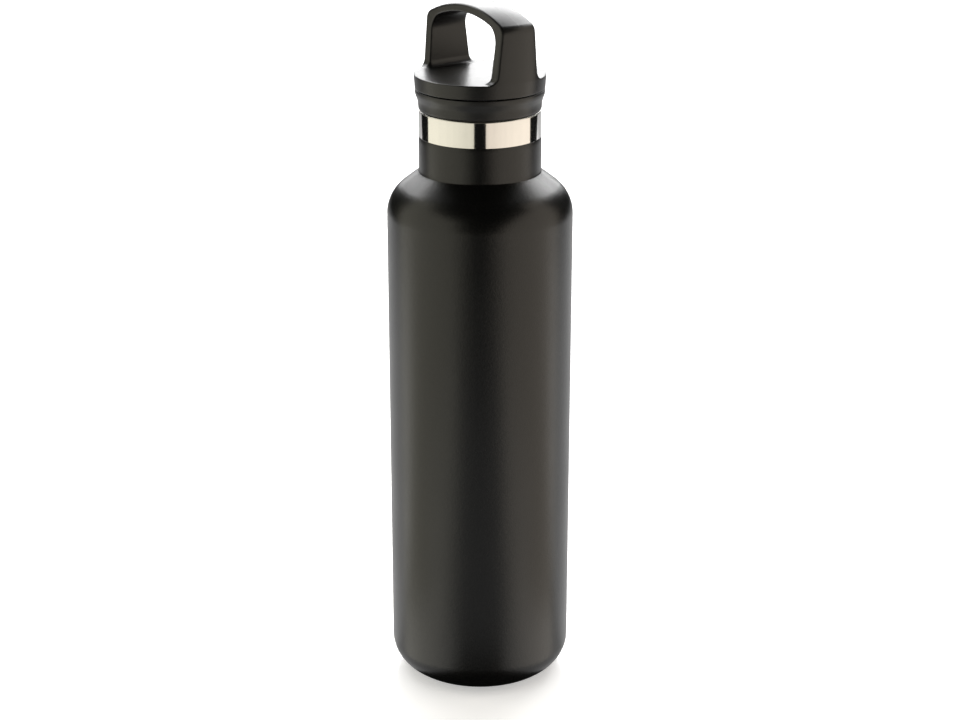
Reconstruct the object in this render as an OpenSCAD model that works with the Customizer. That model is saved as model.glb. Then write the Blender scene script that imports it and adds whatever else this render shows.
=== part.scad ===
// Double-wall vacuum water bottle with a screw lid and a fixed carry loop.
// Millimetres, +Z up, origin at the middle of the base on the surface it stands on.
// The finger hole of the carry loop runs along Y and its legs stand at +X and -X.

/* [Bottle] */
// Outside diameter of the coated body
body_d = 72.8; // [71:0.1:74]
// Outside diameter of the coated neck
neck_d = 47.6; // [47:0.1:48]
// Height where the straight wall turns into the shoulder
shoulder_z = 194.7; // [180:0.1:200]
// Height of the lip of the mouth
lip_z = 236; // [235.5:0.1:236.5]
// Height where the coating stops and bare steel begins
coat_top_z = 225.8; // [222:0.1:230]
// Radius of the bottom corner
corner_r = 12.5; // [10:0.5:13]
// Radius of the shoulder's arc
shoulder_r = 15; // [13:0.5:16]
// Slope of the shoulder's cone below horizontal
shoulder_slope = 37.5; // [35:0.5:40]

/* [Walls] */
// Thickness of the powder coating
coat_t = 0.15; // [0.1:0.05:0.2]
// Thickness of the outer steel wall
outer_t = 0.5; // [0.4:0.05:0.7]
// Thickness of the inner steel wall
inner_t = 0.4; // [0.3:0.05:0.5]
// Inside diameter of the inner flask
flask_d = 65; // [63:0.1:65.4]
// Inside diameter of the mouth
mouth_d = 41.2; // [41:0.1:41.6]

/* [Lid] */
// Diameter of the cap and of the legs of its loop
cap_d = 51; // [50.6:0.1:51.6]
// Height of the cap's flat deck
deck_z = 250; // [249:0.5:251]
// Height of the top of the carry loop
loop_top_z = 277.3; // [274:0.1:280]
// Height of the groove between the collar and the cap
groove_z = 244.2; // [244:0.1:245]
// Height of the underside of the plug
plug_z = 221; // [220:0.5:222]
// Diameter of the plug between its threads
plug_d = 37.2; // [36.8:0.1:37.4]

/* [Thread] */
// Rise of the lid in one turn
lead = 8; // [7:0.5:9]
// Number of thread starts
starts = 2; // [1:1:2]
// Diameter over the plug's thread crests
male_d = 40.4; // [40:0.1:40.6]
// Diameter inside the neck's thread crests
female_d = 38.4; // [38.2:0.1:38.6]

/* [Hidden] */

$fn = 96;
eps = 0.01;

// Bottle, derived
body_r = body_d / 2;
neck_r = neck_d / 2;
corner_x = body_r - corner_r;
shoulder_x = body_r - shoulder_r;
shoulder_turn = 90 - shoulder_slope;
flask_r = flask_d / 2;
mouth_r = mouth_d / 2;
outer_skin = coat_t + outer_t;
lip_t = 0.5;
lip_round = 0.45;
arc_steps = 8;

// Base, derived
foot_in_r = 20.4;
foot_out_r = 23.6;
coat_start = 12;
flange_top_z = 4;
recess_z = 1.6;
cover_t = 0.5;
rim_h = 1;
seam_z = 22;
flask_corner_r = 10.5;
flask_floor_z = 9;
dimple_r = 5;
dimple_h = 1.5;
seal_hole_r = 1;
seal_r = 3.2;
getter_x = 12;
getter_r = 4;
getter_h = 2.6;
getter_t = 0.3;

// Lid, derived
cap_r = cap_d / 2;
plug_r = plug_d / 2;
plug_t = 2;
disc_t = 1.5;
disc_spigot_h = 1.4;
collar_z = lip_z + 0.3;
collar_in_r = 22.6;
shelf_z = collar_z + 2.2;
gasket_in_r = 21.2;
gasket_out_r = 22.7;
gasket_h = 1.2;
groove_h = 0.3;
skirt_foot_r = 24.5;
skirt_in_r = 22.9;
skirt_low_r = 25.1;
deck_t = 2.4;
spigot_z = groove_z - 4;
spigot_t = 1.6;
fit_gap = 0.1;
foam_top_r = 20.4;

// Carry loop, derived
dome_r = 53;
crease_r = 2;
leg_half_low = 9.9;
leg_half_top = 7.1;
hole_half_low = 19.5;
hole_half_top = 20.7;
hole_corner_low = 2.5;
hole_corner_top = 4.5;
roof_r = 48;
roof_z = loop_top_z - 3.5;

// Thread, derived
thread_turns = 1;
thread_step = 10;
thread_fade = 3;
male_low_z = 222.8;
female_low_z = male_low_z + lead / starts / 2;
male_root_r = plug_r - 0.3;
female_root_r = mouth_r + 0.22;

// Points of an arc about [cx, cy]
function arc(cx, cy, r, from, to, steps = arc_steps) =
    [for (i = [0:steps]) let (a = from + (to - from) * i / steps) [cx + r * cos(a), cy + r * sin(a)]];

// Outline of the shoulder at depth d below the coated surface, ending at the neck radius
function shoulder(d, neck) =
    let (r = shoulder_r - d, a = shoulder_turn, x = shoulder_x + r * cos(a), z = shoulder_z + r * sin(a))
    concat(arc(shoulder_x, shoulder_z, r, 0, a), [[neck, z + (x - neck) * tan(shoulder_slope)]]);

// Outline of the bottom corner at depth d, from the angle start off straight down
function corner(d, start) = arc(corner_x, corner_r, corner_r - d, start - 90, 0);

function flip(points) = [for (i = [len(points) - 1:-1:0]) points[i]];

// One ring of a thread's ridge at angle a: [inner radius, half width], [outer radius, half width]
function ridge_ring(a, z, inner, outer) =
    [for (p = [[inner[0], -inner[1]], [outer[0], -outer[1]], [outer[0], outer[1]], [inner[0], inner[1]]])
        [p[0] * cos(a), p[0] * sin(a), z + p[1]]];

// Share of the ridge's full height at ring i of n
function fade(i, n) = min(1, (1 + min(i, n - i)) / (thread_fade + 1));

// A helical ridge that fades in and out; root and crest are [radius, half width]
module ridge(low_z, root, crest, turn)
{
    n = round(360 * thread_turns / thread_step);
    rings = [for (i = [0:n])
        let (r = root[0] + (crest[0] - root[0]) * fade(i, n), tip = [r, crest[1]],
            a = turn + i * thread_step, z = low_z + lead * i * thread_step / 360)
        crest[0] > root[0] ? ridge_ring(a, z, root, tip) : ridge_ring(a, z, tip, root)];
    sides = [for (i = [0:n - 1], j = [0:3], half = [0, 1])
        let (a = 4 * i + j, b = 4 * i + (j + 1) % 4)
        half == 0 ? [a, b, b + 4] : [a, b + 4, a + 4]];
    ends = [[3, 2, 1, 0], [4 * n, 4 * n + 1, 4 * n + 2, 4 * n + 3]];
    polyhedron(points = [for (ring = rings, p = ring) p], faces = concat(sides, ends));
}

module disc(r, z, h)
{
    translate([0, 0, z])
        cylinder(r = r, h = h);
}

module ring(inner, outer, z, h)
{
    rotate_extrude()
        translate([inner, z])
            square([outer - inner, h]);
}

// Outer steel wall, from the standing ring up to the welded lip
module outer_shell()
{
    outside = concat([[foot_in_r, 0], [foot_out_r, 0]], corner(coat_t, coat_start),
        shoulder(coat_t, neck_r - coat_t), [[neck_r - coat_t, lip_z - lip_t]]);
    inside = concat([[foot_in_r + outer_t, outer_t]], corner(outer_skin, coat_start),
        shoulder(outer_skin, neck_r - outer_skin), [[neck_r - outer_skin, lip_z - lip_t]]);
    color("silver")
        rotate_extrude()
            polygon(concat(outside, flip(inside),
                [[foot_in_r + outer_t, flange_top_z], [foot_in_r, flange_top_z]]));
}

// Textured powder coating over the outer wall, up to the bare steel band
module powder_coat()
{
    outside = concat(corner(0, coat_start), shoulder(0, neck_r), [[neck_r, coat_top_z]]);
    inside = concat(corner(coat_t, coat_start), shoulder(coat_t, neck_r - coat_t),
        [[neck_r - coat_t, coat_top_z]]);
    color([0.05, 0.05, 0.05])
        rotate_extrude()
            polygon(concat(outside, flip(inside)));
}

// Shallow pressed dish that covers the sealing hole
module base_cover()
{
    color("silver")
        union() {
            disc(foot_in_r, recess_z, cover_t);
            ring(foot_in_r - cover_t, foot_in_r, recess_z, cover_t + rim_h / 2);
        }
}

// Structural base of the vacuum space, with the sealing hole in a dimple
module vacuum_base()
{
    top = flange_top_z;
    color("gainsboro")
        rotate_extrude()
            polygon([[seal_hole_r, top + dimple_h - outer_t], [dimple_r - outer_t, top + dimple_h - outer_t],
                [dimple_r, top - outer_t], [foot_in_r - outer_t, top - outer_t],
                [foot_in_r - outer_t, top - rim_h], [foot_in_r, top - rim_h], [foot_in_r, top],
                [dimple_r + outer_t, top], [dimple_r, top + dimple_h], [seal_hole_r, top + dimple_h]]);
}

// Glass solder that closes the sealing hole
module seal_bead()
{
    under = flange_top_z + dimple_h - outer_t;
    color("dimgray")
        union() {
            disc(seal_hole_r, under - eps, outer_t + eps);
            translate([0, 0, under])
                rotate_extrude()
                    polygon([[0, 0], [seal_r, 0], [seal_r * 0.8, -0.6], [seal_r * 0.4, -0.85], [0, -0.9]]);
        }
}

// Steel cup spot-welded inside the vacuum space
module getter_holder()
{
    color("silver")
        translate([getter_x, 0, flange_top_z])
            difference() {
                cylinder(r = getter_r, h = getter_h);
                translate([0, 0, getter_t])
                    cylinder(r = getter_r - getter_t, h = getter_h);
            }
}

// Gas-absorbing pellet pressed into its cup
module getter_pellet()
{
    color("slategray")
        translate([getter_x, 0, flange_top_z + getter_t])
            cylinder(r = getter_r - getter_t, h = getter_h - 2 * getter_t);
}

// Pressed bottom of the inner flask, welded on at the seam
module inner_base()
{
    wall_r = flask_r + inner_t;
    arc_x = flask_r - flask_corner_r;
    arc_z = flask_floor_z + flask_corner_r;
    color("gainsboro")
        rotate_extrude()
            polygon(concat([[0, flask_floor_z - inner_t]],
                arc(arc_x, arc_z, flask_corner_r + inner_t, -90, 0), [[wall_r, seam_z], [flask_r, seam_z]],
                arc(arc_x, arc_z, flask_corner_r, 0, -90), [[0, flask_floor_z]]));
}

// Inner wall with the neck thread and the rolled lip
module inner_flask()
{
    depth = body_r - flask_r;
    rim_r = neck_r - coat_t;
    color("gainsboro")
        union() {
            rotate_extrude()
                polygon(concat([[flask_r, seam_z], [flask_r + inner_t, seam_z]],
                    shoulder(depth - inner_t, mouth_r + inner_t),
                    [[mouth_r + inner_t, lip_z - lip_t], [rim_r, lip_z - lip_t]],
                    arc(rim_r - lip_round, lip_z - lip_round, lip_round, 0, 90, 4),
                    arc(mouth_r + lip_round, lip_z - lip_round, lip_round, 90, 180, 4),
                    flip(shoulder(depth, mouth_r))));
            for (s = [0:starts - 1])
                ridge(female_low_z, [female_root_r, 0.9], [female_d / 2, 0.5], s * 360 / starts);
        }
}

// Foil wrapped round the inner flask to turn back radiant heat
module copper_foil()
{
    foil_r = flask_r + inner_t + 0.05;
    color("peru")
        ring(foil_r, foil_r + 0.08, seam_z + 3, shoulder_z - seam_z - 6);
}

// Silicone ring that seals on the lip
module lip_gasket()
{
    color("whitesmoke")
        ring(gasket_in_r, gasket_out_r, lip_z, gasket_h);
}

// Collar and threaded plug in one moulding
module plug_body()
{
    groove = [[gasket_in_r - fit_gap, collar_z], [gasket_in_r - fit_gap, lip_z + gasket_h],
        [gasket_out_r + fit_gap, lip_z + gasket_h], [gasket_out_r + fit_gap, collar_z]];
    color([0.12, 0.12, 0.12])
        union() {
            rotate_extrude()
                polygon(concat([[plug_r - plug_t, plug_z + disc_t], [plug_r, plug_z + disc_t],
                    [plug_r, collar_z]], groove, [[neck_r - 0.4, collar_z], [neck_r, collar_z + 0.7],
                    [neck_r + 0.15, collar_z + 3], [neck_r + 0.6, collar_z + 4.5],
                    [neck_r + 1.2, collar_z + 6.1], [neck_r + 1.3, collar_z + 6.9],
                    [neck_r + 1.3, groove_z], [collar_in_r, groove_z], [collar_in_r, shelf_z],
                    [plug_r - plug_t, shelf_z]]));
            for (s = [0:starts - 1])
                ridge(male_low_z, [male_root_r, 1], [male_d / 2, 0.55], s * 360 / starts);
        }
}

// Disc that closes the bottom of the plug
module plug_disc()
{
    color([0.16, 0.16, 0.16])
        union() {
            disc(plug_r, plug_z, disc_t);
            disc(plug_r - plug_t, plug_z + disc_t - eps, disc_spigot_h + eps);
        }
}

// Insulating foam that fills the plug and the cap
module foam_core()
{
    low_z = plug_z + disc_t + disc_spigot_h;
    color("lemonchiffon")
        union() {
            disc(plug_r - plug_t, low_z, shelf_z - low_z + eps);
            disc(foam_top_r, shelf_z, deck_z - deck_t - shelf_z);
        }
}

// Side outline of the finger hole, in X and Z
module hole_outline()
{
    low = hole_corner_low;
    top = hole_corner_top;
    top_x = hole_half_top - top;
    top_z = roof_z - roof_r + sqrt(pow(roof_r - top, 2) - top_x * top_x);
    roof_a = atan2(top_z - roof_z + roof_r, top_x);
    right = concat(arc(hole_half_low - low, deck_z + low, low, -90, 0, 4),
        arc(top_x, top_z, top, 0, roof_a, 5), arc(0, roof_z - roof_r, roof_r, roof_a, 90, 6));
    polygon(concat(right, [for (p = flip(right)) [-p[0], p[1]]]));
}

// Skirt, deck and carry loop in one moulding
module handle_cap()
{
    under_z = deck_z - deck_t;
    crease_z = loop_top_z - dome_r + sqrt(pow(dome_r - crease_r, 2) - pow(cap_r - crease_r, 2));
    crease_a = atan2(crease_z - loop_top_z + dome_r, cap_r - crease_r);
    color([0.1, 0.1, 0.1])
        difference() {
            union() {
                rotate_extrude()
                    polygon([[0, under_z], [collar_in_r - fit_gap - spigot_t, under_z],
                        [collar_in_r - fit_gap - spigot_t, spigot_z], [collar_in_r - fit_gap, spigot_z],
                        [collar_in_r - fit_gap, under_z], [skirt_in_r, under_z], [skirt_in_r, groove_z],
                        [skirt_foot_r, groove_z], [skirt_foot_r, groove_z + groove_h],
                        [skirt_low_r, groove_z + groove_h], [cap_r, deck_z], [0, deck_z]]);
                intersection() {
                    rotate_extrude()
                        polygon(concat([[0, deck_z - eps], [cap_r, deck_z - eps]],
                            arc(cap_r - crease_r, crease_z, crease_r, 0, crease_a, 5),
                            arc(0, loop_top_z - dome_r, dome_r, crease_a, 90, 6)));
                    rotate([90, 0, 90])
                        linear_extrude(height = cap_d, center = true)
                            polygon([[-leg_half_low, deck_z - 1], [leg_half_low, deck_z - 1],
                                [leg_half_top, loop_top_z + eps], [-leg_half_top, loop_top_z + eps]]);
                }
            }
            rotate([90, 0, 0])
                linear_extrude(height = cap_d, center = true)
                    hole_outline();
        }
}

outer_shell();
powder_coat();
base_cover();
vacuum_base();
seal_bead();
getter_holder();
getter_pellet();
inner_base();
inner_flask();
copper_foil();
lip_gasket();
plug_body();
plug_disc();
foam_core();
handle_cap();
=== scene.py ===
"""The looks of an insulated water bottle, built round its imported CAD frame.

Outlines and fields are in millimetres, and make_piece turns them into the frame's metres. An outline
is a list of (radius, height) points. The finger hole of the carry loop runs along Y. The camera stands
VIEW_TURN degrees anticlockwise from the -Y side, seen from above.
"""

import math

import bpy
import numpy as np
from mathutils import Matrix, Vector


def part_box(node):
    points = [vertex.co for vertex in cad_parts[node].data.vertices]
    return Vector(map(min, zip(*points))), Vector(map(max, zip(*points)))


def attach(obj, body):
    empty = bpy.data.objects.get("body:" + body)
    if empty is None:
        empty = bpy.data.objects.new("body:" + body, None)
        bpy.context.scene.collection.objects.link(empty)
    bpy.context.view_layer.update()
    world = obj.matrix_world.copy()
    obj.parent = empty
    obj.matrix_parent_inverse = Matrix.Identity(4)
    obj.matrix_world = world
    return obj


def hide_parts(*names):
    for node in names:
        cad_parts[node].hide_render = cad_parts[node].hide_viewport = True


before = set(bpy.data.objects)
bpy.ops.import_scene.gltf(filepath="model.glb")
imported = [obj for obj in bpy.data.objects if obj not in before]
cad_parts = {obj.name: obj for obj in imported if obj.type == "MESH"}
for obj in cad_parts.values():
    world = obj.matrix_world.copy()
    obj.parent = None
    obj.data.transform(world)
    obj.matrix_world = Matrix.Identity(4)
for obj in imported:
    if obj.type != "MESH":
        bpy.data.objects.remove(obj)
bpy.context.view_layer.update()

MM = 0.001
SHARP = 32  # degrees between two faces, above which their edge is sharp


# ---------------------------------------------------------------- bottle, in mm

def low(node):
    """Lowest corner of a CAD node, in mm."""
    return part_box(node)[0] / MM


def high(node):
    """Highest corner of a CAD node, in mm."""
    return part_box(node)[1] / MM


BODY_R = high("powder_coat").x
COAT_TOP = high("powder_coat").z
COAT_EDGE = 0.07  # rounding of the coating's upper edge
WALL_R = high("outer_shell").x
SEAM_TOP = high("outer_shell").z
COAT = BODY_R - WALL_R
WALL = 0.5
CORNER_R = 12.5
COAT_START = 12.0  # degrees off straight down at which the bottom corner starts
SHOULDER_R = 15.0
SHOULDER_Z = 194.7
SHOULDER_SLOPE = 37.5
NECK_R = 23.8
NECK_FILLET = 0.6

FOOT_IN_R = high("base_cover").x
FOOT_OUT_R = 23.6
FOOT_EDGE = [(0.3, 0.09), (0.6, 0.0)]  # inner edge of the standing ring, outwards and up
FOOT_EDGE_TOP = 0.4
FLANGE_TOP = low("vacuum_base").z + 1.0

DISH_Z = low("base_cover").z
DISH_RIM = high("base_cover").z
DISH_WALL = 0.5
DISH_ROUND = 0.3
DISH_STEP = 0.25
DISH_STEP_IN_R = 11.6
DISH_STEP_OUT_R = 12.4
DISH_STEP_SHIFT = 0.2  # how far out the step is on the upper face

FLASK_WALL = 0.4
FLASK_R = high("inner_flask").x - FLASK_WALL
FLASK_FLOOR = low("inner_base").z + FLASK_WALL
FLASK_CORNER_R = 10.5
FLASK_SEAM = low("inner_flask").z
MOUTH_R = 20.6
LIP_Z = high("inner_flask").z
LIP_ROUND = 0.45

# ---------------------------------------------------------------- lid, in mm

PLUG_R = high("plug_disc").x
PLUG_WALL = 2.0
PLUG_IN_R = PLUG_R - PLUG_WALL
PLUG_FLOOR = low("plug_body").z
DISC_Z = low("plug_disc").z
DISC_TOP = high("plug_disc").z
DISC_ROUND = 0.5
DISC_RECESS = 0.3
DISC_RIM = 3.0
GATE_MARK = [(0.0, 0.35), (1.2, 0.35), (1.5, 0.12), (2.6, 0.1), (3.0, DISC_RECESS)]

COLLAR_R = high("plug_body").x
COLLAR_Z = LIP_Z + 0.3
COLLAR_IN_R = 22.6
COLLAR_FLOOR = 2.2
COLLAR_ROUND = 0.3
COLLAR_FLARE = [(-0.45, 0.02), (-0.12, 0.25), (0.0, 0.8), (0.1, 2.2), (0.28, 3.5), (0.75, 4.9),
    (1.15, 6.0)]  # outwards from the neck, and up from the collar's foot
COLLAR_FLARE_TOP = 7.0
GROOVE_Z = high("plug_body").z

GASKET_TOP = high("lip_gasket").z
GASKET_OUT = high("lip_gasket").x
GASKET_IN = 21.2
GASKET_PLAY = 0.1
GASKET_ROUND = 0.2
GASKET_LINE = [(21.75, 0.0), (21.9, 0.12), (22.05, 0.0)]  # sealing groove in its underside

CAP_R = high("handle_cap").x
LOOP_TOP = high("handle_cap").z
DECK_Z = 250.0
DECK_WALL = 2.4
CAVITY_R = 22.9
SKIRT_FOOT = GROOVE_Z + 0.3
SKIRT_FOOT_ROUND = 0.35
SKIRT_LOW_R = 25.1
DOME_R = 53.0
DOME_Z = LOOP_TOP - DOME_R
DOME_ROUND = 2.0
ROOF_R = 48.0
ROOF_Z = LOOP_TOP - 3.5
LEG_HALF_LOW = 9.9
LEG_HALF_TOP = 7.1
LEG_ROUND = 0.7
LEG_ROOT = 2.8
HOLE_HALF_LOW = 19.5
HOLE_HALF_TOP = 20.7
HOLE_CORNER = 4.5
DECK_ROUND = 0.4
LOOP_ROUND = 0.9
LOOP_ROUND_FROM = 0.3  # heights above the deck between which one rounding turns into the other
LOOP_ROUND_OVER = 3.0
CAP_CELL = 0.35

LEAD = 8.0
STARTS = 2
THREAD_STEP = 0.15
THREAD_RUN_OUT = 1 / 9  # share of a turn over which a ridge fades at each end
THREAD_SPARE = 2.0
MALE_LOW = 222.8
MALE_TOP = COLLAR_Z - 0.4
MALE_RIDGE = (1.6, 1.0, 0.55)  # height, then half its width at the root and at the crest
FEMALE_LOW = MALE_LOW + LEAD / STARTS / 2
FEMALE_RIDGE = (1.4, 0.9, 0.5)

# ---------------------------------------------------------------- materials

NOISE_LOW = 0.3  # most of a noise lies between these two values
NOISE_HIGH = 0.7
LINE_BASE = 3.0
LINE_WANDER = 0.15
MOULD_LINE_WIDTH = 0.35

# ---------------------------------------------------------------- camera

VIEW_TURN = 53.3
VIEW_TILT = 19.65
VIEW_DISTANCE = 780.8
VIEW_HEIGHT = 411.9
VIEW_LENS = 77.33

# ---------------------------------------------------------------- studio, in metres

FLOOR_HALF = 9.0
FLOOR_GLOW = (0.42, 1.05)
FLOOR_GLOW_FROM = (0.7, 1.6)  # distances from the bottle between which the glow rises

SIDE_GAP = 0.36
WALL_FOOT = -0.24
WALL_TOP = 0.50
WALL_STOPS = [0.05, 0.18, 0.30, 0.43, 0.56, 0.70]
WALL_RADIANCE = 1.08
WALL_FALL = 0.18
LEFT_COLOUR = (1.0, 0.96, 0.80)
RIGHT_COLOUR = (1.0, 0.90, 0.77)

STRIP_HEIGHT = -0.086
STRIP_SLOPE = math.radians(12.7)
STRIP_FRONTS = (0.99, 1.57)
STRIP_LENGTH = 0.58
STRIP_WIDTH = 0.19
STRIP_RADIANCES = (0.87, 0.82)

BACK_FRONT = -2.0
BACK_PANELS = [  # name, side, height, width, tallness, radiance
    ("back_low", 0.05, 0.6, 1.7, 0.6, 3.9),
    ("back_middle", 0.10, 1.29, 2.7, 0.62, 7.8),
    ("back_high", 0.15, 2.35, 2.4, 1.5, 3.7),
    ("back_upper_left", -1.56, 2.0, 1.0, 0.8, 5.2),
    ("back_top_left", -1.95, 2.75, 1.8, 0.7, 5.2),
    ("back_upper_right", 1.56, 2.0, 1.0, 0.8, 6.4),
    ("back_top_right", 1.95, 2.75, 1.8, 0.7, 6.4),
]

CARD_Z = -0.01
CARDS = [  # name, side, front, width, depth, radiance
    ("rear_card", 0.04, -0.41, 1.36, 0.78, 0.9),
    ("far_card", 0.07, -1.1, 1.46, 0.6, 0.55),
    ("front_card", 0.0, 0.27, 0.5, 0.36, 0.33),
]


# ---------------------------------------------------------------- outlines

def arc(cx, cz, r, start, end, steps):
    """Points of an arc, angles in degrees."""
    turn = np.radians(np.linspace(start, end, steps + 1))
    return [(cx + r * math.cos(a), cz + r * math.sin(a)) for a in turn]


def corner(depth):
    """Bottom corner at a depth below the coated surface."""
    return arc(BODY_R - CORNER_R, CORNER_R, CORNER_R - depth, COAT_START - 90, 0, 28)


def shoulder(depth, neck):
    """Shoulder arc, cone and filleted root of the neck at a depth below the coated surface."""
    turn = 90 - SHOULDER_SLOPE
    slope = math.radians(SHOULDER_SLOPE)
    curve = arc(BODY_R - SHOULDER_R, SHOULDER_Z, SHOULDER_R - depth, 0, turn, 24)
    x, z = curve[-1]
    root = z + (x - neck) * math.tan(slope)
    rise = NECK_FILLET * (1 / math.cos(slope) - math.tan(slope))
    return curve + arc(neck + NECK_FILLET, root + rise, NECK_FILLET, 180 + turn, 180, 6)


def smooth(points, steps=6):
    """A Catmull-Rom curve through points."""
    p = [np.array(q, float) for q in points]
    p = [2 * p[0] - p[1]] + p + [2 * p[-1] - p[-2]]
    found = []
    for i in range(1, len(p) - 2):
        for t in np.linspace(0, 1, steps, endpoint=False):
            found.append(tuple(0.5 * (2 * p[i] + (p[i + 1] - p[i - 1]) * t
                + (2 * p[i - 1] - 5 * p[i] + 4 * p[i + 1] - p[i + 2]) * t ** 2
                + (3 * p[i] - p[i - 1] - 3 * p[i + 1] + p[i + 2]) * t ** 3)))
    return found + [tuple(p[-2])]


def refine(outline, step):
    """The closed outline with its long sides cut up, so that shading stays even."""
    found = []
    for (x0, z0), (x1, z1) in zip(outline, outline[1:] + outline[:1]):
        n = max(1, math.ceil(math.hypot(x1 - x0, z1 - z0) / step))
        found += [(x0 + (x1 - x0) * i / n, z0 + (z1 - z0) * i / n) for i in range(n)]
    return found


# ---------------------------------------------------------------- meshes

def make_piece(name, vertices, faces, normals=None):
    """A smooth-shaded mesh object from vertices in mm."""
    mesh = bpy.data.meshes.new(name)
    mesh.from_pydata((np.asarray(vertices) * MM).tolist(), [], faces)
    mesh.polygons.foreach_set("use_smooth", [True] * len(mesh.polygons))
    mesh.update()
    mesh.set_sharp_from_angle(angle=math.radians(SHARP))
    if normals is not None:
        mesh.normals_split_custom_set_from_vertices(normals)
    piece = bpy.data.objects.new(name, mesh)
    bpy.context.scene.collection.objects.link(piece)
    return piece


def lathe(name, outline, step=2.0, segments=192, offset=None):
    """A closed outline turned about the Z axis. offset(turn, x, z) moves a point outwards."""
    outline = refine(outline, step)
    turns = np.arange(segments) * 2 * math.pi / segments
    vertices, rings = [], []
    for x, z in outline:
        if x < 1e-6:
            rings.append([len(vertices)] * segments)
            vertices.append((0, 0, z))
            continue
        rings.append(list(range(len(vertices), len(vertices) + segments)))
        for a in turns:
            r = x + (offset(a, x, z) if offset else 0)
            vertices.append((r * math.cos(a), r * math.sin(a), z))
    faces = []
    for ring, after in zip(rings, rings[1:] + rings[:1]):
        for i in range(segments):
            j = (i + 1) % segments
            loop = [ring[i], ring[j], after[j], after[i]]
            loop = [v for k, v in enumerate(loop) if v not in loop[:k]]
            if len(loop) > 2:
                faces.append(loop)
    return make_piece(name, vertices, faces)


def thread_height(turn, z, low_z, height, root_half, crest_half):
    """Height of the thread's ridges at a turn in radians and a height z."""
    found = 0.0
    for start in range(STARTS):
        share = (turn / (2 * math.pi) - start / STARTS) % 1.0
        away = abs(z - low_z - LEAD * share)
        flank = min(1.0, max(0.0, (root_half - away) / (root_half - crest_half)))
        fade = min(1.0, min(share, 1 - share) / THREAD_RUN_OUT)
        found = max(found, height * flank * flank * (3 - 2 * flank) * fade)
    return found


def round_union(a, b, r):
    """Union of two distance fields with a fillet of radius r."""
    ua, ub = np.maximum(r - a, 0), np.maximum(r - b, 0)
    return np.maximum(r, np.minimum(a, b)) - np.hypot(ua, ub)


def round_cut(a, b, r):
    """Intersection of two distance fields with a rounded edge of radius r."""
    ua, ub = np.maximum(r + a, 0), np.maximum(r + b, 0)
    return np.minimum(-r, np.maximum(a, b)) + np.hypot(ua, ub)


def cap_field(x, y, z):
    """Signed distance to the cap: its deck and carry loop inside one turned envelope."""
    r = np.hypot(x, y)
    draft = (CAP_R - SKIRT_LOW_R) / (DECK_Z - SKIRT_FOOT)
    side = np.where(z < DECK_Z, r - CAP_R + (DECK_Z - z) * draft, r - CAP_R)
    dome = np.hypot(r, z - DOME_Z) - DOME_R
    envelope = round_cut(side, dome, DOME_ROUND)
    leg_lean = (LEG_HALF_LOW - LEG_HALF_TOP) / (LOOP_TOP - DECK_Z)
    leg = (np.abs(y) - LEG_HALF_LOW + leg_lean * (z - DECK_Z)) / math.hypot(1, leg_lean)
    hole_lean = (HOLE_HALF_TOP - HOLE_HALF_LOW) / (ROOF_Z - DECK_Z)
    hole_side = (np.abs(x) - HOLE_HALF_LOW - hole_lean * (z - DECK_Z)) / math.hypot(1, hole_lean)
    roof = np.hypot(x, z - ROOF_Z + ROOF_R) - ROOF_R
    hole = round_cut(hole_side, roof, HOLE_CORNER)
    strap = round_cut(leg, -hole, LEG_ROUND)
    solid = round_union(strap, z - DECK_Z, LEG_ROOT)
    above = np.clip((z - DECK_Z - LOOP_ROUND_FROM) / LOOP_ROUND_OVER, 0, 1)
    cap = round_cut(solid, envelope, DECK_ROUND + (LOOP_ROUND - DECK_ROUND) * above)
    foot = round_cut(cap, SKIRT_FOOT - z, SKIRT_FOOT_ROUND)
    cavity = np.maximum(r - CAVITY_R, z - DECK_Z + DECK_WALL)
    return np.maximum(foot, -cavity)


def surface_net(field, lowest, highest, cell):
    """Vertices, quads and normals of the closed surface where field is zero."""
    axes = [np.arange(a - 2 * cell, b + 3 * cell, cell) for a, b in zip(lowest, highest)]
    values = field(*np.meshgrid(*axes, indexing="ij", sparse=True))
    inside = values < 0
    count = sum(inside[i:i - 1 or None, j:j - 1 or None, k:k - 1 or None].astype(np.int8)
        for i in (0, 1) for j in (0, 1) for k in (0, 1))
    cells = np.argwhere((count > 0) & (count < 8))
    index = -np.ones(count.shape, np.int64)
    index[tuple(cells.T)] = np.arange(len(cells))
    total = np.zeros((len(cells), 3))
    hits = np.zeros(len(cells))
    for axis in range(3):
        others = [a for a in range(3) if a != axis]
        for shift in ((0, 0), (0, 1), (1, 0), (1, 1)):
            a = cells.copy()
            a[:, others[0]] += shift[0]
            a[:, others[1]] += shift[1]
            b = a.copy()
            b[:, axis] += 1
            va, vb = values[tuple(a.T)], values[tuple(b.T)]
            crossing = (va < 0) != (vb < 0)
            point = a.astype(float)
            point[:, axis] += np.where(crossing, va / np.where(crossing, va - vb, 1), 0)
            total += point * crossing[:, None]
            hits += crossing
    origin = np.array([a[0] for a in axes])
    vertices = origin + cell * total / hits[:, None]
    quads = []
    for axis in range(3):
        b_axis, c_axis = (axis + 1) % 3, (axis + 2) % 3
        near = np.take(inside, range(inside.shape[axis] - 1), axis)
        far = np.take(inside, range(1, inside.shape[axis]), axis)
        for flip, change in ((False, near & ~far), (True, ~near & far)):
            e = np.argwhere(change)
            ring = []
            for db, dc in ((0, 0), (-1, 0), (-1, -1), (0, -1)):
                c = e.copy()
                c[:, b_axis] += db
                c[:, c_axis] += dc
                ring.append(index[tuple(c.T)])
            ring = np.stack(ring, 1)
            quads.append(ring[:, ::-1] if flip else ring)
    for _ in range(3):
        value, normals = gradient(field, vertices)
        vertices = vertices - normals * np.clip(value, -cell, cell)[:, None]
    return vertices, np.concatenate(quads).tolist(), gradient(field, vertices)[1]


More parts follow.
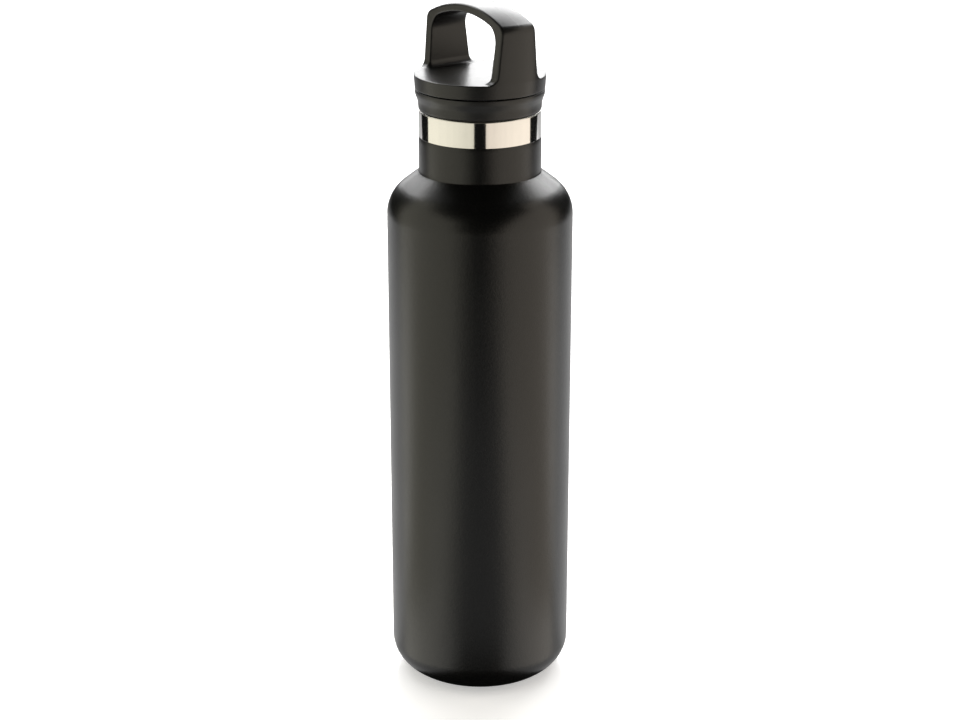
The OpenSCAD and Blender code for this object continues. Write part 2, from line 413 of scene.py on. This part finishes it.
def gradient(field, points, small=0.02):
    """The field's values and unit gradients at points."""
    slopes = []
    for axis in range(3):
        step = np.zeros(3)
        step[axis] = small
        slopes.append(field(*(points + step).T) - field(*(points - step).T))
    slopes = np.stack(slopes, 1)
    return field(*points.T), slopes / np.maximum(np.linalg.norm(slopes, axis=1), 1e-9)[:, None]


# ---------------------------------------------------------------- material nodes

def new_material(name, metallic=0.0):
    """A material with a Principled shader, and its node tree and shader."""
    made = bpy.data.materials.new(name)
    made.use_nodes = True
    tree = made.node_tree
    shader = tree.nodes["Principled BSDF"]
    shader.inputs["Metallic"].default_value = metallic
    return made, tree, shader


def place(tree, stretch=(1, 1, 1)):
    """Object coordinates in metres, stretched."""
    source = tree.nodes.new("ShaderNodeTexCoord")
    mapping = tree.nodes.new("ShaderNodeMapping")
    mapping.inputs["Scale"].default_value = stretch
    tree.links.new(source.outputs["Object"], mapping.inputs["Vector"])
    return mapping.outputs["Vector"]


def split(tree, point):
    """The X, Y and Z values of a point."""
    parts = tree.nodes.new("ShaderNodeSeparateXYZ")
    tree.links.new(point, parts.inputs["Vector"])
    return [parts.outputs[axis] for axis in "XYZ"]


def maths(tree, operation, *values):
    """The result of a Math node. Each value is a plain number or a node's output."""
    made = tree.nodes.new("ShaderNodeMath")
    made.operation = operation
    for socket, value in zip(made.inputs, values):
        if isinstance(value, float):
            socket.default_value = value
        else:
            tree.links.new(value, socket)
    return made.outputs["Value"]


def noise_at(tree, point, size_mm, detail):
    """Noise at a point, with features about size_mm across."""
    made = tree.nodes.new("ShaderNodeTexNoise")
    made.inputs["Scale"].default_value = 1 / (size_mm * MM)
    made.inputs["Detail"].default_value = detail
    tree.links.new(point, made.inputs["Vector"])
    return made.outputs["Fac"]


def noise(tree, size_mm, detail, stretch=(1, 1, 1)):
    """Noise over the surface, with features about size_mm across."""
    return noise_at(tree, place(tree, stretch), size_mm, detail)


def from_axis(tree, point):
    """Distance of a point from the Z axis."""
    flat = tree.nodes.new("ShaderNodeVectorMath")
    flat.operation = "MULTIPLY"
    flat.inputs[1].default_value = (1, 1, 0)
    away = tree.nodes.new("ShaderNodeVectorMath")
    away.operation = "LENGTH"
    tree.links.new(point, flat.inputs[0])
    tree.links.new(flat.outputs["Vector"], away.inputs[0])
    return away.outputs["Value"]


def turned_lines(tree, line_mm):
    """Noise in fine lines that run round the Z axis, on flat faces as well as on upright ones."""
    point = place(tree)
    x, y, z = split(tree, point)
    both = maths(tree, "ADD", from_axis(tree, point), z)
    across = maths(tree, "MULTIPLY", both, LINE_BASE / line_mm)
    along = [maths(tree, "MULTIPLY", value, LINE_WANDER) for value in (x, y)]
    mixed = tree.nodes.new("ShaderNodeCombineXYZ")
    for axis, value in zip("XYZ", along + [across]):
        tree.links.new(value, mixed.inputs[axis])
    return noise_at(tree, mixed.outputs["Vector"], LINE_BASE, 2.0)


def spread(tree, value, low_value, high_value, start=NOISE_LOW, end=NOISE_HIGH):
    """A value mapped from start..end to low_value..high_value."""
    made = tree.nodes.new("ShaderNodeMapRange")
    made.inputs["From Min"].default_value = start
    made.inputs["From Max"].default_value = end
    made.inputs["To Min"].default_value = low_value
    made.inputs["To Max"].default_value = high_value
    tree.links.new(value, made.inputs["Value"])
    return made.outputs["Result"]


def tint(tree, value, dark, light):
    """A colour between dark and light by a value."""
    made = tree.nodes.new("ShaderNodeValToRGB")
    stops = made.color_ramp.elements
    for stop, position, colour in zip(stops, (NOISE_LOW, NOISE_HIGH), (dark, light)):
        stop.position = position
        stop.color = (*colour, 1)
    tree.links.new(value, made.inputs["Fac"])
    return made.outputs["Color"]


def mould_line(tree):
    """A fine ridge along the middle of the carry loop's outer face."""
    point = place(tree)
    off = maths(tree, "ABSOLUTE", split(tree, point)[1])
    ridge = spread(tree, off, 1, 0, 0, MOULD_LINE_WIDTH * MM / 2)
    out = tree.nodes.new("ShaderNodeVectorMath")
    out.operation = "DISTANCE"
    out.inputs[1].default_value = (0, 0, DOME_Z * MM)
    tree.links.new(point, out.inputs[0])
    outside = spread(tree, out.outputs["Value"], 0, 1, (DOME_R - 0.6) * MM, (DOME_R - 0.3) * MM)
    return maths(tree, "MULTIPLY", ridge, outside)


def finish_shader(tree, shader, colour, roughness, layers):
    """Links colour, roughness and bump layers, each (height value, depth in mm)."""
    tree.links.new(colour, shader.inputs["Base Color"])
    tree.links.new(roughness, shader.inputs["Roughness"])
    normal = None
    for value, depth_mm in layers:
        made = tree.nodes.new("ShaderNodeBump")
        made.inputs["Strength"].default_value = 1.0
        made.inputs["Distance"].default_value = depth_mm * MM
        tree.links.new(value, made.inputs["Height"])
        if normal is not None:
            tree.links.new(normal, made.inputs["Normal"])
        normal = made.outputs["Normal"]
    tree.links.new(normal, shader.inputs["Normal"])


# ---------------------------------------------------------------- materials

def powder_coating():
    """Matt black powder coating with fine grain over a slight orange peel."""
    made, tree, shader = new_material("powder_coating")
    grain = noise(tree, 0.42, 3.0)
    peel = noise(tree, 1.6, 1.0)
    patch = noise(tree, 28.0, 2.0)
    colour = tint(tree, grain, (0.0006, 0.0006, 0.0006), (0.0018, 0.0018, 0.0016))
    finish_shader(tree, shader, colour, spread(tree, patch, 0.28, 0.32), [(peel, 0.026), (grain, 0.045)])
    return made


def moulded(name, dark, light, rough, seam=False):
    """Moulded plastic with spark grain, faint tool lines and, with seam, the loop's mould line."""
    made, tree, shader = new_material(name)
    grain = noise(tree, 0.35, 2.0)
    lines = turned_lines(tree, 0.5)
    flow = noise(tree, 14.0, 3.0, (1, 1, 0.35))
    layers = [(lines, 0.006), (grain, 0.02)]
    if seam:
        layers.append((mould_line(tree), 0.03))
    roughness = spread(tree, flow, rough - 0.04, rough + 0.05)
    finish_shader(tree, shader, tint(tree, flow, dark, light), roughness, layers)
    return made


def turned_steel(name, light, rough, line_mm, depth):
    """Steel finished with fine lines that run round the axis."""
    made, tree, shader = new_material(name, metallic=1.0)
    lines = turned_lines(tree, line_mm)
    patch = noise(tree, 18.0, 3.0)
    dark = [c * 0.93 for c in light]
    roughness = spread(tree, lines, rough * 0.85, rough * 1.25)
    finish_shader(tree, shader, tint(tree, patch, dark, light), roughness, [(lines, depth)])
    return made


def speckled(name, dark, light, rough, size_mm, depth, metallic=0.0):
    """A grainy material for the pieces inside."""
    made, tree, shader = new_material(name, metallic)
    grain = noise(tree, size_mm, 4.0)
    roughness = spread(tree, grain, rough - 0.08, rough + 0.08)
    finish_shader(tree, shader, tint(tree, grain, dark, light), roughness, [(grain, depth)])
    return made


COATING = powder_coating()
CAP_PLASTIC = moulded("cap_plastic", (0.0022, 0.0022, 0.0022), (0.0038, 0.0038, 0.0035), 0.31, seam=True)
PLUG_PLASTIC = moulded("plug_plastic", (0.003, 0.003, 0.003), (0.005, 0.005, 0.0047), 0.34)
BAND_STEEL = turned_steel("band_steel", (0.81, 0.795, 0.775), 0.08, 0.12, 0.0012)
INNER_STEEL = turned_steel("inner_steel", (0.66, 0.65, 0.62), 0.26, 0.3, 0.004)
PRESSED_STEEL = turned_steel("pressed_steel", (0.62, 0.61, 0.58), 0.32, 0.5, 0.004)
SILICONE = speckled("silicone", (0.08, 0.08, 0.08), (0.12, 0.12, 0.12), 0.6, 0.8, 0.006)
FOAM = speckled("foam", (0.70, 0.62, 0.42), (0.86, 0.80, 0.60), 0.9, 0.7, 0.08)
COPPER = speckled("copper", (0.60, 0.28, 0.16), (0.78, 0.42, 0.28), 0.25, 6.0, 0.05, 1.0)
SOLDER = speckled("solder_glass", (0.03, 0.03, 0.03), (0.08, 0.07, 0.07), 0.2, 1.5, 0.02)
GETTER = speckled("getter_metal", (0.10, 0.10, 0.11), (0.22, 0.22, 0.23), 0.7, 0.3, 0.04, 0.6)


# ---------------------------------------------------------------- pieces

def dress(piece, material, body, node):
    """Gives a new piece its material and body, and hides the CAD node that it stands for."""
    piece.data.materials.append(material)
    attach(piece, body)
    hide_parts(node)


def repaint(node, material):
    """Gives a CAD node that stays its finished material."""
    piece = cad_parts[node]
    piece.data.materials.clear()
    piece.data.materials.append(material)
    piece.data.polygons.foreach_set("material_index", [0] * len(piece.data.polygons))


def make_coating():
    """The coating over the outer wall, from the bottom corner to the bare band."""
    edge = arc(NECK_R - COAT_EDGE, COAT_TOP - COAT_EDGE, COAT_EDGE, 0, 90, 3)
    outer = corner(0) + shoulder(0, NECK_R) + edge
    inner = corner(COAT) + shoulder(COAT, NECK_R - COAT) + [(NECK_R - COAT, COAT_TOP)]
    piece = lathe("body_coating", outer + inner[::-1])
    dress(piece, COATING, "bottle", "powder_coat")


def make_shell():
    """The outer steel wall, with the standing ring at its foot and the bare band at its top."""
    skin = COAT + WALL
    outside = [(FOOT_IN_R + x, z) for x, z in FOOT_EDGE] + [(FOOT_OUT_R, 0)] + corner(COAT)
    outside += shoulder(COAT, NECK_R - COAT) + [(NECK_R - COAT, SEAM_TOP)]
    inside = [(FOOT_IN_R + WALL, WALL)] + corner(skin) + shoulder(skin, NECK_R - skin)
    inside += [(NECK_R - skin, SEAM_TOP)]
    flange = [(FOOT_IN_R + WALL, FLANGE_TOP), (FOOT_IN_R, FLANGE_TOP), (FOOT_IN_R, FOOT_EDGE_TOP)]
    piece = lathe("steel_shell", outside + inside[::-1] + flange, segments=256)
    dress(piece, BAND_STEEL, "bottle", "outer_shell")


def make_flask():
    """The inner steel wall, from its weld seam up to the rolled lip, with the neck's thread."""
    depth = BODY_R - FLASK_R
    rim = NECK_R - COAT
    outside = [(FLASK_R, FLASK_SEAM), (FLASK_R + FLASK_WALL, FLASK_SEAM)]
    outside += shoulder(depth - FLASK_WALL, MOUTH_R + FLASK_WALL)
    outside += [(MOUTH_R + FLASK_WALL, SEAM_TOP), (rim, SEAM_TOP)]
    lip = arc(rim - LIP_ROUND, LIP_Z - LIP_ROUND, LIP_ROUND, 0, 90, 5)
    lip += arc(MOUTH_R + LIP_ROUND, LIP_Z - LIP_ROUND, LIP_ROUND, 90, 180, 5)
    heights = np.arange(SEAM_TOP - 0.2, FEMALE_LOW - THREAD_SPARE, -THREAD_STEP)
    bore = [(MOUTH_R, z) for z in heights]
    inside = lip + bore + shoulder(depth, MOUTH_R)[::-1]

    def rolled(turn, x, z):
        if abs(x - MOUTH_R) > 0.01 or z < FEMALE_LOW - THREAD_SPARE:
            return 0.0
        return -thread_height(turn, z, FEMALE_LOW, *FEMALE_RIDGE)

    piece = lathe("steel_flask", outside + inside, offset=rolled)
    dress(piece, INNER_STEEL, "bottle", "inner_flask")


def make_plug():
    """The threaded plug and the flared collar above it, with a slot for the silicone ring."""
    thread = [(PLUG_R, z) for z in np.arange(PLUG_FLOOR + 0.2, MALE_TOP, THREAD_STEP)]
    slot_in, slot_out = GASKET_IN - GASKET_PLAY, GASKET_OUT + GASKET_PLAY
    slot = [(slot_in, COLLAR_Z), (slot_in, GASKET_TOP), (slot_out, GASKET_TOP), (slot_out, COLLAR_Z)]
    flare = [(NECK_R + x, COLLAR_Z + z) for x, z in COLLAR_FLARE]
    flare += [(COLLAR_R, COLLAR_Z + COLLAR_FLARE_TOP), (COLLAR_R, GROOVE_Z - COLLAR_ROUND - 0.05)]
    top = arc(COLLAR_R - COLLAR_ROUND, GROOVE_Z - COLLAR_ROUND, COLLAR_ROUND, 0, 90, 4)
    floor = COLLAR_Z + COLLAR_FLOOR
    inside = [(COLLAR_IN_R, GROOVE_Z), (COLLAR_IN_R, floor), (PLUG_IN_R, floor)]
    outline = [(PLUG_IN_R, PLUG_FLOOR), (PLUG_R - 0.2, PLUG_FLOOR)] + thread
    outline += [(PLUG_R, COLLAR_Z)] + slot + smooth(flare) + top + inside

    def ridge(turn, x, z):
        if abs(x - PLUG_R) > 0.01 or z > MALE_TOP:
            return 0.0
        return thread_height(turn, z, MALE_LOW, *MALE_RIDGE)

    piece = lathe("lid_plug", outline, step=1.0, offset=ridge)
    dress(piece, PLUG_PLASTIC, "lid", "plug_body")


def make_cap():
    """The skirt, deck and carry loop, in one moulding."""
    lowest, highest = (-CAP_R, -CAP_R, SKIRT_FOOT), (CAP_R, CAP_R, LOOP_TOP)
    piece = make_piece("lid_cap", *surface_net(cap_field, lowest, highest, CAP_CELL))
    dress(piece, CAP_PLASTIC, "lid", "handle_cap")


def make_base_dish():
    """The pressed disc in the foot ring, with its turned-up rim and a shallow stiffening step."""
    rim_in, face = FOOT_IN_R - DISH_WALL, DISH_Z + DISH_WALL
    under = [(0, DISH_Z + DISH_STEP), (DISH_STEP_IN_R, DISH_Z + DISH_STEP), (DISH_STEP_OUT_R, DISH_Z)]
    under += [(rim_in, DISH_Z)]
    under += arc(FOOT_IN_R - DISH_ROUND, DISH_Z + DISH_ROUND, DISH_ROUND, -90, 0, 5)
    over = [(FOOT_IN_R, DISH_RIM), (rim_in, DISH_RIM), (rim_in, face)]
    over += [(DISH_STEP_OUT_R + DISH_STEP_SHIFT, face)]
    over += [(DISH_STEP_IN_R + DISH_STEP_SHIFT, face + DISH_STEP), (0, face + DISH_STEP)]
    piece = lathe("base_dish", under + over)
    dress(piece, PRESSED_STEEL, "bottle", "base_cover")


def make_flask_floor():
    """The pressed bottom of the flask, up to its weld seam."""
    centre = (FLASK_R - FLASK_CORNER_R, FLASK_FLOOR + FLASK_CORNER_R)
    outside = [(0, FLASK_FLOOR - FLASK_WALL)] + arc(*centre, FLASK_CORNER_R + FLASK_WALL, -90, 0, 20)
    outside += [(FLASK_R + FLASK_WALL, FLASK_SEAM), (FLASK_R, FLASK_SEAM)]
    inside = arc(*centre, FLASK_CORNER_R, 0, -90, 20) + [(0, FLASK_FLOOR)]
    piece = lathe("flask_floor", outside + inside)
    dress(piece, INNER_STEEL, "bottle", "inner_base")


def make_gasket():
    """A flat ring with rounded edges and a shallow sealing groove pressed into its underside."""
    r = GASKET_ROUND
    outline = arc(GASKET_OUT - r, LIP_Z + r, r, -90, 0, 4) + arc(GASKET_OUT - r, GASKET_TOP - r, r, 0, 90, 4)
    outline += arc(GASKET_IN + r, GASKET_TOP - r, r, 90, 180, 4)
    outline += arc(GASKET_IN + r, LIP_Z + r, r, 180, 270, 4)
    outline += [(x, LIP_Z + z) for x, z in GASKET_LINE]
    piece = lathe("lip_seal", outline, step=0.5)
    dress(piece, SILICONE, "lid_seal", "lip_gasket")


def make_plug_floor():
    """The disc that closes the plug, with a rounded edge, a recessed face and a moulding gate mark."""
    rim = PLUG_R - DISC_RIM
    under = [(x, DISC_Z + z) for x, z in GATE_MARK]
    under += [(rim - 0.6, DISC_Z + DISC_RECESS), (rim, DISC_Z)]
    edge = arc(PLUG_R - DISC_ROUND, DISC_Z + DISC_ROUND, DISC_ROUND, -90, 0, 5)
    edge += [(PLUG_R, PLUG_FLOOR), (PLUG_IN_R, PLUG_FLOOR)]
    over = [(PLUG_IN_R, DISC_TOP), (0, DISC_TOP)]
    piece = lathe("plug_floor", under + edge + over, step=1.0)
    dress(piece, PLUG_PLASTIC, "lid", "plug_disc")


make_coating()
make_shell()
make_base_dish()
make_flask()
make_flask_floor()
make_gasket()
make_plug()
make_plug_floor()
make_cap()
repaint("vacuum_base", PRESSED_STEEL)
repaint("getter_holder", PRESSED_STEEL)
repaint("seal_bead", SOLDER)
repaint("getter_pellet", GETTER)
repaint("copper_foil", COPPER)
repaint("foam_core", FOAM)


# ---------------------------------------------------------------- stage, light and camera

TURN = math.radians(VIEW_TURN)
RIGHT = Vector((math.cos(TURN), math.sin(TURN), 0))
FRONT = Vector((math.sin(TURN), -math.cos(TURN), 0))
UP = Vector((0, 0, 1))


def spot(side, front, height):
    """A point in metres, from the bottle's foot to the camera's right, towards it and up."""
    return RIGHT * side + FRONT * front + UP * height


def soft_box(name, centre, facing, along, width, tall, radiance, colour=(1, 1, 1)):
    """A rectangular light, width measured along a direction. The camera doesn't see it."""
    data = bpy.data.lights.new(name, "AREA")
    data.shape = "RECTANGLE"
    data.size = width
    data.size_y = tall
    data.energy = radiance * math.pi * width * tall
    data.color = colour
    light = bpy.data.objects.new(name, data)
    axes = Matrix((along, (-facing).cross(along), -facing)).transposed()
    light.matrix_world = Matrix.Translation(centre) @ axes.to_4x4()
    light.visible_camera = False
    bpy.context.scene.collection.objects.link(light)
    return light


def make_floor():
    """A glossy white floor that glows more further out, so that its edge is lost in the background."""
    half = FLOOR_HALF / MM
    corners = [(-half, -half, 0), (half, -half, 0), (half, half, 0), (-half, half, 0)]
    floor = make_piece("floor", corners, [(0, 1, 2, 3)])
    made, tree, shader = new_material("white_floor")
    shader.inputs["Base Color"].default_value = (0.88, 0.88, 0.88, 1)
    shader.inputs["Roughness"].default_value = 0.2
    shader.inputs["Emission Color"].default_value = (1, 1, 1, 1)
    glow = spread(tree, from_axis(tree, place(tree)), *FLOOR_GLOW, *FLOOR_GLOW_FROM)
    tree.links.new(glow, shader.inputs["Emission Strength"])
    floor.data.materials.append(made)
    floor.visible_glossy = False
    floor.visible_shadow = False


def make_world():
    """A white background for the camera, and nearly no light from it on the bottle."""
    world = bpy.data.worlds.new("studio")
    bpy.context.scene.world = world
    world.use_nodes = True
    tree = world.node_tree
    dim = tree.nodes["Background"]
    white = tree.nodes.new("ShaderNodeBackground")
    for background, strength in ((dim, 0.006), (white, 1.0)):
        background.inputs["Color"].default_value = (1, 1, 1, 1)
        background.inputs["Strength"].default_value = strength
    rays = tree.nodes.new("ShaderNodeLightPath")
    mix = tree.nodes.new("ShaderNodeMixShader")
    tree.links.new(rays.outputs["Is Camera Ray"], mix.inputs["Fac"])
    tree.links.new(dim.outputs["Background"], mix.inputs[1])
    tree.links.new(white.outputs["Background"], mix.inputs[2])
    tree.links.new(mix.outputs["Shader"], tree.nodes["World Output"].inputs["Surface"])


def make_side(name, sign, gain, rear, rise, colour):
    """One side wall of upright panels, with a panel above it, a card below the bottle's corner and a
    low slanted strip in front. It starts rear behind the bottle's axis, and ends rise higher."""
    inward = RIGHT * -sign
    side = sign * SIDE_GAP
    stops = [-rear] + WALL_STOPS
    for i, (near, far) in enumerate(zip(stops, stops[1:])):
        share = i / (len(stops) - 2)
        top = WALL_TOP + rise * share ** 2
        soft_box(f"{name}_wall_{i}", spot(side, (near + far) / 2, (top + WALL_FOOT) / 2), inward, FRONT,
            far - near, top - WALL_FOOT, gain * (WALL_RADIANCE - WALL_FALL * share), colour)
    soft_box(f"{name}_upper", spot(side, -0.08, 0.57), inward, FRONT, 0.28, 0.14, gain * 1.2, colour)
    soft_box(f"{name}_card", spot(sign * 0.072, 0.035, CARD_Z), UP, RIGHT, 0.08, 0.11, 0.6)
    slant = FRONT * math.cos(STRIP_SLOPE) - UP * math.sin(STRIP_SLOPE)
    length = STRIP_LENGTH / math.cos(STRIP_SLOPE)
    middle = sum(STRIP_FRONTS) / 2
    for i, (front, radiance) in enumerate(zip(STRIP_FRONTS, STRIP_RADIANCES)):
        height = STRIP_HEIGHT - (front - middle) * math.tan(STRIP_SLOPE)
        soft_box(f"{name}_strip_{i}", spot(side, front, height), inward, slant,
            length, STRIP_WIDTH, gain * radiance, colour)


def make_lights():
    """Side walls, a stepped back wall, cards at floor level and a diffuse overhead."""
    make_side("left", -1, gain=1.0, rear=0.14, rise=0.06, colour=LEFT_COLOUR)
    make_side("right", 1, gain=1.1, rear=0.10, rise=-0.16, colour=RIGHT_COLOUR)
    for name, side, height, width, tall, radiance in BACK_PANELS:
        soft_box(name, spot(side, BACK_FRONT, height), FRONT, RIGHT, width, tall, radiance)
    for name, side, front, width, deep, radiance in CARDS:
        soft_box(name, spot(side, front, CARD_Z), UP, RIGHT, width, deep, radiance)
    overhead = soft_box("overhead", spot(0, 0, 1.6), -UP, RIGHT, 2.4, 2.4, 0.8)
    overhead.visible_glossy = False


def make_camera():
    """The camera, which looks at the bottle's axis from VIEW_DISTANCE in front of it."""
    data = bpy.data.cameras.new("camera")
    data.lens = VIEW_LENS
    camera = bpy.data.objects.new("camera", data)
    camera.location = spot(0, VIEW_DISTANCE * MM, VIEW_HEIGHT * MM)
    camera.rotation_euler = (math.radians(90 - VIEW_TILT), 0, math.radians(VIEW_TURN))
    bpy.context.scene.collection.objects.link(camera)
    bpy.context.scene.camera = camera


make_floor()
make_world()
make_lights()
make_camera()
bpy.context.scene.view_settings.view_transform = "Standard"
